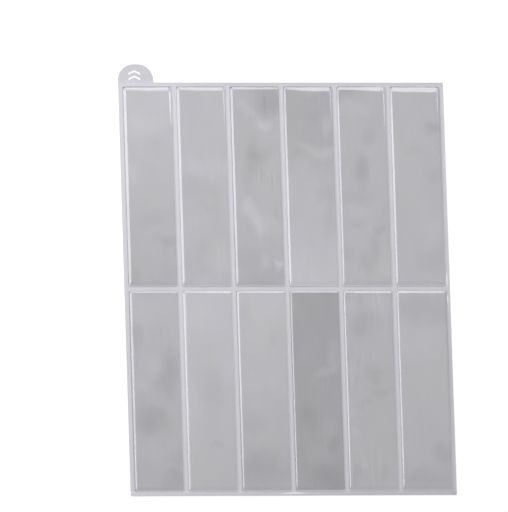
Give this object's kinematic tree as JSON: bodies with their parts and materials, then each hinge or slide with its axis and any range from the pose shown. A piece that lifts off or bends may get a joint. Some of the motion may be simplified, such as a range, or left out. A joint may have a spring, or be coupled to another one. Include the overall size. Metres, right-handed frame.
{
  "type": "peel and stick backsplash tile sheet",
  "caption": "Self-adhesive wall tile sheet: raised glossy grey gel tiles with rolled edges on a printed film, with a paper release liner and a rounded pull tab at one corner.",
  "frame": {"origin": "middle of the rectangular sheet, without its tab, on the back of the release liner", "axes": "+X across the columns of tiles, +Y along the tiles towards the end with the pull tab, +Z out of the tiled face; the tab is at the -X end of the +Y side"},
  "size_m": [0.237, 0.3133, 0.002],
  "materials": {
    "gel": "glossy",
    "printed_film": "satin",
    "liner_paper": "satin"
  },
  "bodies": {
    "root": {"release_liner": "liner_paper", "carrier_film": "printed_film", "gel_tile_row1_col1": "gel", "gel_tile_row1_col2": "gel", "gel_tile_row1_col3": "gel", "gel_tile_row1_col4": "gel", "gel_tile_row1_col5": "gel", "gel_tile_row1_col6": "gel", "gel_tile_row2_col1": "gel", "gel_tile_row2_col2": "gel", "gel_tile_row2_col3": "gel", "gel_tile_row2_col4": "gel", "gel_tile_row2_col5": "gel", "gel_tile_row2_col6": "gel"}
  },
  "joints": []
}
